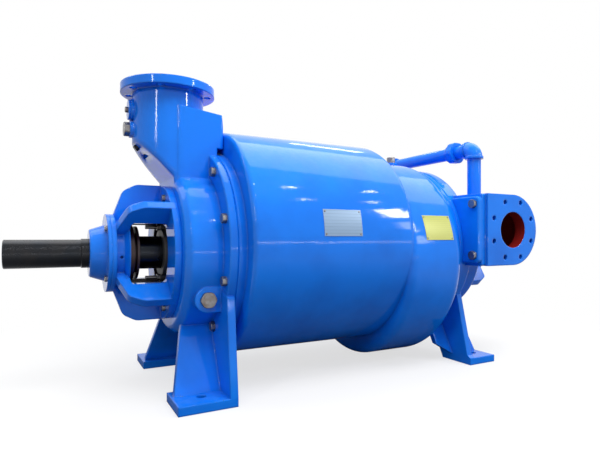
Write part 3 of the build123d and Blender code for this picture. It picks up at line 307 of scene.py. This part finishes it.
def build_dust_group():
    """Dust that settles on faces that look up, broken up by noise."""
    tree, entry, result = group_tree("Settled dust", [("Amount", 0.2), ("Patch Scale", 30.0)], ["Mask"])
    surface = tree.nodes.new("ShaderNodeNewGeometry")
    upward = ranged(tree, parts_of(tree, surface.outputs["Normal"])["Z"], 0.35, 1.0)
    patches = object_noise(tree, 30.0, 5.0, 0.6)
    tree.links.new(entry.outputs["Patch Scale"], patches.inputs["Scale"])
    broken = ranged(tree, patches.outputs["Fac"], 0.35, 0.75)
    both = math_node(tree, "MULTIPLY", upward, broken)
    mask = math_node(tree, "MULTIPLY", both, entry.outputs["Amount"], True)
    tree.links.new(mask, result.inputs["Mask"])
    return tree


def build_recess_group():
    """Mask of the inner corners, from ambient occlusion, used to paint shade into them."""
    tree, entry, result = group_tree("Recess shade", [("Reach", 0.02), ("Strength", 1.0)], ["Mask"])
    closeness = add_node(tree, "ShaderNodeAmbientOcclusion", samples=6, only_local=True)
    tree.links.new(entry.outputs["Reach"], closeness.inputs["Distance"])
    hidden = math_node(tree, "SUBTRACT", 1.0, closeness.outputs["AO"])
    mask = math_node(tree, "MULTIPLY", hidden, entry.outputs["Strength"], True)
    tree.links.new(mask, result.inputs["Mask"])
    return tree


def build_lathe_group():
    """Fine turning lines across the shaft direction, with slight drift."""
    tree, entry, result = group_tree("Lathe lines", [("Pitch Scale", 900.0), ("Drift", 0.35)],
                                     ["Height", "Tone"])
    lines = object_noise(tree, 900.0, 2.0, 0.7, (1.0, 0.01, 0.01))
    drift = object_noise(tree, 14.0, 4.0, 0.6)
    tree.links.new(entry.outputs["Pitch Scale"], lines.inputs["Scale"])
    tree.links.new(lines.outputs["Fac"], result.inputs["Height"])
    slow = math_node(tree, "MULTIPLY", drift.outputs["Fac"], entry.outputs["Drift"])
    fine = math_node(tree, "MULTIPLY", lines.outputs["Fac"], 0.4)
    tree.links.new(math_node(tree, "ADD", slow, fine, True), result.inputs["Tone"])
    return tree


EFFECT_MAKERS = {
    "Cast skin": build_cast_skin_group,
    "Settled dust": build_dust_group,
    "Recess shade": build_recess_group,
    "Lathe lines": build_lathe_group,
}


def effect(tree, name, **values):
    """A shared effect with its own values, built the first time that it is asked for."""
    node = tree.nodes.new("ShaderNodeGroup")
    node.node_tree = bpy.data.node_groups.get(name) or EFFECT_MAKERS[name]()
    for key, value in values.items():
        node.inputs[key.replace("_", " ")].default_value = value
    return node.outputs


def cast_skin(tree, wave_scale, wave_depth, peel_scale, peel_depth):
    """Height of a casting's skin."""
    return effect(tree, "Cast skin", Wave_Scale=wave_scale, Wave_Depth=wave_depth,
                  Peel_Scale=peel_scale, Peel_Depth=peel_depth)["Height"]


def bump(tree, shader, height, strength, distance, edge_radius=0.0):
    """Relief on the shader's normal, over softly rounded edges where a radius is given."""
    relief = add_node(tree, "ShaderNodeBump", Strength=strength, Distance=distance)
    tree.links.new(height, relief.inputs["Height"])
    if edge_radius:
        rounding = add_node(tree, "ShaderNodeBevel", samples=8)
        if isinstance(edge_radius, float):
            rounding.inputs["Radius"].default_value = edge_radius
        else:
            tree.links.new(edge_radius, rounding.inputs["Radius"])
        tree.links.new(rounding.outputs["Normal"], relief.inputs["Normal"])
    tree.links.new(relief.outputs["Normal"], shader.inputs["Normal"])


# masks on the enamel
def bore_mask(tree, mouth, radius, facing, depth):
    """1 inside a round hollow."""
    offset = vector_node(tree, "SUBTRACT", object_point(tree), mouth).outputs[0]
    along = vector_node(tree, "DOT_PRODUCT", offset, facing).outputs["Value"]
    across = vector_node(tree, "MULTIPLY", offset, [1.0 - abs(part) for part in facing]).outputs[0]
    from_axis = vector_node(tree, "LENGTH", across).outputs["Value"]
    near_axis = math_node(tree, "LESS_THAN", from_axis, radius)
    below_mouth = math_node(tree, "LESS_THAN", along, -0.0008)
    above_end = math_node(tree, "GREATER_THAN", along, -depth)
    inside = math_node(tree, "MULTIPLY", near_axis, below_mouth)
    return math_node(tree, "MULTIPLY", inside, above_end, True)


def chamber_mask(tree, low, high):
    """1 inside a box-shaped hollow between two corners."""
    offset = vector_node(tree, "SUBTRACT", object_point(tree), (low + high) / 2).outputs[0]
    folded = parts_of(tree, vector_node(tree, "ABSOLUTE", offset).outputs[0])
    half = (high - low) / 2
    within = [math_node(tree, "LESS_THAN", folded[axis], reach) for axis, reach in zip("XYZ", half)]
    return math_node(tree, "MULTIPLY", math_node(tree, "MULTIPLY", within[0], within[1]), within[2])


def either_mask(tree, masks):
    """1 where any of the masks is 1."""
    joined = masks[0]
    for mask in masks[1:]:
        joined = math_node(tree, "MAXIMUM", joined, mask)
    return joined


def riser_rounding(tree, edge):
    """Edge radius that grows on the slanted underside of the suction riser."""
    place = parts_of(tree, object_point(tree))
    above = ranged(tree, place["Z"], *RISER_FOOT)
    below = ranged(tree, place["Z"], *RISER_NECK)
    outer = ranged(tree, place["X"], *RISER_BACK)
    zone = math_node(tree, "MULTIPLY", math_node(tree, "MULTIPLY", above, below), outer, True)
    return ranged(tree, zone, 0.0, 1.0, edge, RISER_ROUNDING)


# finishes
def enamel_material(name, finish, lining=None, bores=(), chambers=(), riser=False):
    """Glossy blue enamel over a sand casting, with painted shade darkening its inner corners.

    The bores and chambers are left in primer of the lining's colour. With riser, the slanted underside of
    the suction riser gets its larger edge rounding.
    """
    material, tree, shader = new_material(name)
    tone = object_noise(tree, 7.0, 3.0, 0.55)
    # painted shade: ambient occlusion darkens the enamel toward its deep colour in inner corners, added
    # to the random thickness tone
    painted_recess_shade = effect(tree, "Recess shade", Reach=0.018, Strength=0.9)["Mask"]
    dust = effect(tree, "Settled dust", Amount=0.10, Patch_Scale=34.0)["Mask"]
    thickness = ranged(tree, tone.outputs["Fac"], 0.4, 0.8, 0.0, 0.45)
    depth = math_node(tree, "ADD", painted_recess_shade, thickness, True)
    colour = mixed(tree, depth, finish.enamel, finish.deep_enamel_and_recess_shade)
    colour = mixed(tree, dust, colour, DUST)
    fleck = object_noise(tree, 55.0, 5.0, 0.65)
    rough = ranged(tree, fleck.outputs["Fac"], 0.3, 0.8, finish.gloss * 0.75, finish.gloss * 1.5)
    rough = math_node(tree, "ADD", rough, math_node(tree, "MULTIPLY", dust, 0.5), True)
    masks = [bore_mask(tree, *bore) for bore in bores]
    masks += [chamber_mask(tree, *chamber) for chamber in chambers]
    if masks:
        inside = either_mask(tree, masks)
        colour = mixed(tree, inside, colour, lining)
        rough = math_node(tree, "ADD", rough, math_node(tree, "MULTIPLY", inside, 0.35), True)
    tree.links.new(colour, shader.inputs["Base Color"])
    tree.links.new(rough, shader.inputs["Roughness"])
    shader.inputs["Specular IOR Level"].default_value = 0.24
    radius = riser_rounding(tree, finish.edge) if riser else finish.edge
    bump(tree, shader, cast_skin(tree, 30.0, 1.0, 420.0, 0.06), 0.35, 0.0008, radius)
    return material


def turned_material(name, finish):
    """Turned shaft steel under a brown film of oil."""
    material, tree, shader = new_material(name)
    lathe = effect(tree, "Lathe lines", Pitch_Scale=700.0, Drift=0.6)
    film = object_noise(tree, 9.0, 6.0, 0.65)
    colour = mixed(tree, lathe["Tone"], scaled(finish.steel, 0.55), finish.steel)
    colour = mixed(tree, ranged(tree, film.outputs["Fac"], 0.45, 0.75, 0.0, 0.6), colour, OIL_FILM)
    tree.links.new(colour, shader.inputs["Base Color"])
    tree.links.new(ranged(tree, film.outputs["Fac"], 0.3, 0.8, 0.17, 0.34), shader.inputs["Roughness"])
    shader.inputs["Metallic"].default_value = 0.85
    shader.inputs["Coat Weight"].default_value = 0.25
    shader.inputs["Coat Roughness"].default_value = 0.25
    bump(tree, shader, lathe["Height"], 0.12, 0.0002, 0.0012)
    return material


def iron_material(name, finish):
    """Bare cast iron with a coarse skin and faint rust."""
    material, tree, shader = new_material(name)
    rust = object_noise(tree, 24.0, 6.0, 0.7)
    spots = ranged(tree, rust.outputs["Fac"], 0.52, 0.78, 0.0, 0.7)
    tree.links.new(mixed(tree, spots, finish.iron, RUST), shader.inputs["Base Color"])
    tree.links.new(ranged(tree, rust.outputs["Fac"], 0.3, 0.7, 0.45, 0.7), shader.inputs["Roughness"])
    shader.inputs["Metallic"].default_value = 0.6
    bump(tree, shader, cast_skin(tree, 160.0, 0.6, 700.0, 0.5), 0.5, 0.0005, 0.0015)
    return material


def primer_material(name, finish):
    """Satin maroon primer."""
    material, tree, shader = new_material(name)
    tone = object_noise(tree, 40.0, 5.0, 0.6)
    colour = mixed(tree, ranged(tree, tone.outputs["Fac"], 0.35, 0.7), finish.primer,
                   scaled(finish.primer, 1.7))
    tree.links.new(colour, shader.inputs["Base Color"])
    tree.links.new(ranged(tree, tone.outputs["Fac"], 0.3, 0.7, 0.3, 0.45), shader.inputs["Roughness"])
    bump(tree, shader, cast_skin(tree, 60.0, 0.6, 500.0, 0.3), 0.3, 0.0005, 0.0012)
    return material


def plated_material(name, finish, darkness=1.0):
    """Zinc plate that has dulled and stained in patches, with painted shade darkening its corners."""
    material, tree, shader = new_material(name)
    bright = scaled(finish.zinc, darkness)
    painted_recess_shade = effect(tree, "Recess shade", Reach=0.004, Strength=1.4)["Mask"]
    patches = object_noise(tree, 90.0, 5.0, 0.65)
    stain = object_noise(tree, 38.0, 4.0, 0.6)
    colour = mixed(tree, ranged(tree, patches.outputs["Fac"], 0.35, 0.7), bright, scaled(bright, 0.72))
    colour = mixed(tree, ranged(tree, stain.outputs["Fac"], 0.48, 0.72, 0.0, 0.7), colour,
                   scaled(STAIN, darkness))
    # painted shade: ambient occlusion turns the plate nearly black in its corners
    colour = mixed(tree, painted_recess_shade, colour, scaled(bright, 0.18))
    tree.links.new(colour, shader.inputs["Base Color"])
    tree.links.new(ranged(tree, patches.outputs["Fac"], 0.3, 0.75, 0.24, 0.46),
                   shader.inputs["Roughness"])
    shader.inputs["Metallic"].default_value = 0.9
    bump(tree, shader, patches.outputs["Fac"], 0.1, 0.0003, 0.0010)
    return material


def ground_material(name):
    """Ground and polished bearing steel."""
    material, tree, shader = new_material(name)
    haze = object_noise(tree, 300.0, 3.0, 0.6)
    tree.links.new(mixed(tree, haze.outputs["Fac"], *GROUND_STEEL), shader.inputs["Base Color"])
    tree.links.new(ranged(tree, haze.outputs["Fac"], 0.3, 0.7, 0.12, 0.22), shader.inputs["Roughness"])
    shader.inputs["Metallic"].default_value = 1.0
    return material


def packing_material(name):
    """Graphite packing with a plaited surface."""
    material, tree, shader = new_material(name)
    plait = add_node(tree, "ShaderNodeTexVoronoi", Scale=260.0)
    tree.links.new(object_point(tree), plait.inputs["Vector"])
    strands = plait.outputs["Distance"]
    tree.links.new(mixed(tree, strands, *GRAPHITE), shader.inputs["Base Color"])
    tree.links.new(ranged(tree, strands, 0.0, 0.6, 0.5, 0.8), shader.inputs["Roughness"])
    bump(tree, shader, strands, 0.8, 0.0006)
    return material


def bronze_material(name):
    """Turned bronze of the lantern rings."""
    material, tree, shader = new_material(name)
    lathe = effect(tree, "Lathe lines", Pitch_Scale=900.0, Drift=0.5)
    tree.links.new(mixed(tree, lathe["Tone"], *BRONZE), shader.inputs["Base Color"])
    tree.links.new(ranged(tree, lathe["Tone"], 0.0, 1.0, 0.25, 0.4), shader.inputs["Roughness"])
    shader.inputs["Metallic"].default_value = 1.0
    bump(tree, shader, lathe["Height"], 0.15, 0.0002)
    return material


def plate_material(name, colour, metallic, row_pitch, row_tone):
    """A data plate with blank ruled rows, brushed along its length."""
    material, tree, shader = new_material(name)
    brush = object_noise(tree, 1400.0, 2.0, 0.6, (0.02, 1.0, 1.0))
    rows = math_node(tree, "DIVIDE", parts_of(tree, object_point(tree))["Z"], row_pitch)
    line = math_node(tree, "LESS_THAN", math_node(tree, "FRACT", rows), 0.10)
    base = mixed(tree, brush.outputs["Fac"], scaled(colour, 0.88), colour)
    ruled = mixed(tree, math_node(tree, "MULTIPLY", line, row_tone), base, scaled(colour, 0.35))
    tree.links.new(ruled, shader.inputs["Base Color"])
    tree.links.new(ranged(tree, brush.outputs["Fac"], 0.3, 0.7, 0.28, 0.42), shader.inputs["Roughness"])
    shader.inputs["Metallic"].default_value = metallic
    bump(tree, shader, brush.outputs["Fac"], 0.08, 0.0002)
    return material


def dress(node_names, material):
    """Give CAD nodes one material."""
    for name in node_names:
        mesh = frame["nodes"][name].data
        mesh.materials.clear()
        mesh.materials.append(material)


class PUMP_OT_castings(bpy.types.Operator):
    """Enamel on the castings and pipework, with primer left in the ports and inside the brackets"""

    bl_idname = "pump.castings"
    bl_label = "Castings and pipes"

    def execute(self, context):
        finish = context.scene.pump_finish
        dress(ENAMELLED, enamel_material("Blue enamel", finish))
        dress(("drive_bracket",), enamel_material(
            "Blue enamel, drive bracket", finish, finish.primer, [DRIVE_SHELL]))
        dress(("idle_bracket",), enamel_material(
            "Blue enamel, idle bracket", finish, finish.primer, [IDLE_SHELL]))
        dress(("drive_head",), enamel_material(
            "Blue enamel, drive head", finish, finish.oxide, [SUCTION_BORE], riser=True))
        dress(("idle_head",), enamel_material(
            "Blue enamel, idle head", finish, finish.oxide, [DISCHARGE_BORE, DISCHARGE_ROOM],
            [DISCHARGE_CHAMBER]))
        return {"FINISHED"}


class PUMP_OT_shaft_line(bpy.types.Operator):
    """Steel, iron, primer and packing along the shaft"""

    bl_idname = "pump.shaft_line"
    bl_label = "Shaft line"

    def execute(self, context):
        finish = context.scene.pump_finish
        dress(TURNED, turned_material("Oiled shaft steel", finish))
        dress(CAST_BARE, iron_material("Bare cast iron", finish))
        dress(PRIMED, primer_material("Maroon primer", finish))
        dress(GROUND, ground_material("Ground bearing steel"))
        dress(("drive_packing", "idle_packing"), packing_material("Graphite packing"))
        dress(("drive_lantern", "idle_lantern"), bronze_material("Turned bronze"))
        return {"FINISHED"}


class PUMP_OT_fasteners(bpy.types.Operator):
    """Plated bolts, studs, plugs and rivets"""

    bl_idname = "pump.fasteners"
    bl_label = "Fasteners and plugs"

    def execute(self, context):
        finish = context.scene.pump_finish
        dress(PLATED, plated_material("Zinc plate", finish))
        dress(("corner_plug",), plated_material("Black oxide", finish, 0.12))
        return {"FINISHED"}


class PUMP_OT_plates(bpy.types.Operator):
    """The two blank data plates"""

    bl_idname = "pump.plates"
    bl_label = "Data plates"

    def execute(self, context):
        finish = context.scene.pump_finish
        dress(("nameplate",), plate_material("Silver plate", finish.silver_plate, 0.25, 0.0095, 0.5))
        dress(("spec_plate",), plate_material("Yellow plate", finish.yellow_plate, 0.1, 0.0065, 0.35))
        return {"FINISHED"}


# studio
def area_light(name, place, target, size, power):
    """A rectangular softbox that looks at a point."""
    light = bpy.data.lights.new(name, "AREA")
    light.shape = "RECTANGLE"
    light.size, light.size_y = size
    light.energy = power
    item = bpy.data.objects.new(name, light)
    bpy.context.scene.collection.objects.link(item)
    item.location = place
    item.rotation_euler = (Vector(target) - Vector(place)).to_track_quat("-Z", "Y").to_euler()
    item.visible_glossy = name not in UNMIRRORED


def mix_shaders(tree, factor, first, second):
    """One shader between two."""
    mix = tree.nodes.new("ShaderNodeMixShader")
    for socket, target in zip((factor, first, second), mix.inputs):
        tree.links.new(socket, target)
    return mix.outputs[0]


def seen_white(tree):
    """1 for camera, glossy and transmitted rays."""
    path = tree.nodes.new("ShaderNodeLightPath")
    seen = math_node(tree, "ADD", path.outputs["Is Camera Ray"], path.outputs["Is Glossy Ray"], True)
    return math_node(tree, "ADD", seen, path.outputs["Is Transmission Ray"], True)


class PUMP_OT_studio(bpy.types.Operator):
    """Pale floor, white surround, softboxes and the camera"""

    bl_idname = "pump.studio"
    bl_label = "Studio"

    def execute(self, context):
        studio = context.scene.pump_studio
        self.make_floor(studio)
        self.make_world(context.scene, studio)
        self.make_lamps(studio)
        self.make_camera(context.scene, studio)
        context.scene.view_settings.view_transform = "Standard"
        return {"FINISHED"}

    def make_floor(self, studio):
        """Floor that turns white with distance, and keeps the object's shadow where it is near."""
        mesh = bpy.data.meshes.new("floor")
        shape = bmesh.new()
        bmesh.ops.create_grid(shape, x_segments=1, y_segments=1, size=FLOOR_HALF_WIDTH)
        shape.to_mesh(mesh)
        shape.free()
        floor = bpy.data.objects.new("floor", mesh)
        bpy.context.scene.collection.objects.link(floor)
        floor.location = (0.0, 0.0, -FLOOR_DROP)
        material, tree, shader = new_material("Pale floor")
        shader.inputs["Base Color"].default_value = opaque(FLOOR_SEEN)
        shader.inputs["Roughness"].default_value = 0.6
        shader.inputs["Specular IOR Level"].default_value = 0.1
        dim = add_node(tree, "ShaderNodeBsdfDiffuse", Color=opaque(FLOOR_BOUNCE))
        white = add_node(tree, "ShaderNodeEmission", Strength=1.0)
        seen = tree.nodes.new("ShaderNodeLightPath").outputs["Is Camera Ray"]
        away = vector_node(tree, "LENGTH", object_point(tree)).outputs["Value"]
        far = ranged(tree, away, *FLOOR_FADE)
        near_lift = math_node(tree, "MULTIPLY", seen, studio.floor_lift)
        lift = math_node(tree, "MAXIMUM", far, near_lift)
        share = math_node(tree, "MULTIPLY", lift, seen_white(tree), True)
        lit = mix_shaders(tree, seen, dim.outputs[0], shader.outputs[0])
        output = [node for node in tree.nodes if node.type == "OUTPUT_MATERIAL"][0]
        tree.links.new(mix_shaders(tree, share, lit, white.outputs[0]), output.inputs["Surface"])
        mesh.materials.append(material)

    def make_world(self, scene, studio):
        """Even light on the object, and pure white for camera, glossy and transmitted rays."""
        world = bpy.data.worlds.new("studio")
        world.use_nodes = True
        tree = world.node_tree
        tree.nodes.clear()
        even = add_node(tree, "ShaderNodeBackground", Color=(0.93, 0.96, 1.0, 1.0), Strength=studio.sky)
        white = add_node(tree, "ShaderNodeBackground", Color=opaque((1.0, 1.0, 1.0)))
        output = tree.nodes.new("ShaderNodeOutputWorld")
        surround = mix_shaders(tree, seen_white(tree), even.outputs[0], white.outputs[0])
        tree.links.new(surround, output.inputs["Surface"])
        scene.world = world

    def make_lamps(self, studio):
        """Softboxes and windows, the rows of ceiling lamps, and the strip along the horizon."""
        for name, place, target, size, power in SOFTBOXES:
            area_light(name, place, target, size, getattr(studio, power))
        for y, row in CEILING_ROWS:
            for x in row:
                area_light("ceiling lamp", (x, y, CEILING_HEIGHT), (x / 2, 0.0, 0.5), CEILING_LAMP_SIZE,
                           studio.lamp)
        name, place, target, size, power = HORIZON_STRIP
        area_light(name, place, target, size, getattr(studio, power))

    def make_camera(self, scene, studio):
        """Level camera at the photograph's place."""
        camera = bpy.data.cameras.new("camera")
        camera.sensor_width = 36.0
        camera.lens = studio.lens
        camera.shift_x = studio.shift
        camera.clip_start = 0.05
        item = bpy.data.objects.new("camera", camera)
        scene.collection.objects.link(item)
        item.location = studio.camera_place
        item.rotation_euler = (math.radians(90.0), 0.0, -studio.heading)
        scene.camera = item


class PUMP_PT_panel(bpy.types.Panel):
    """Sidebar panel with one button for each step"""

    bl_idname = "PUMP_PT_panel"
    bl_label = "Liquid ring pump"
    bl_space_type = "VIEW_3D"
    bl_region_type = "UI"
    bl_category = "Pump"

    def draw(self, context):
        column = self.layout.column(align=True)
        for operator in OPERATORS:
            column.operator(operator.bl_idname)
        for group in (context.scene.pump_finish, context.scene.pump_studio):
            box = self.layout.box()
            for name in group.__annotations__:
                box.prop(group, name)


OPERATORS = (PUMP_OT_castings, PUMP_OT_shaft_line, PUMP_OT_fasteners, PUMP_OT_plates, PUMP_OT_studio)
CLASSES = (PumpFinish, PumpStudio, *OPERATORS, PUMP_PT_panel)


def register():
    for item in CLASSES:
        bpy.utils.register_class(item)
    bpy.types.Scene.pump_finish = PointerProperty(type=PumpFinish)
    bpy.types.Scene.pump_studio = PointerProperty(type=PumpStudio)


def unregister():
    del bpy.types.Scene.pump_studio
    del bpy.types.Scene.pump_finish
    for item in reversed(CLASSES):
        bpy.utils.unregister_class(item)


def main():
    register()
    bpy.ops.pump.castings()
    bpy.ops.pump.shaft_line()
    bpy.ops.pump.fasteners()
    bpy.ops.pump.plates()
    bpy.ops.pump.studio()


if __name__ == "__main__":
    main()
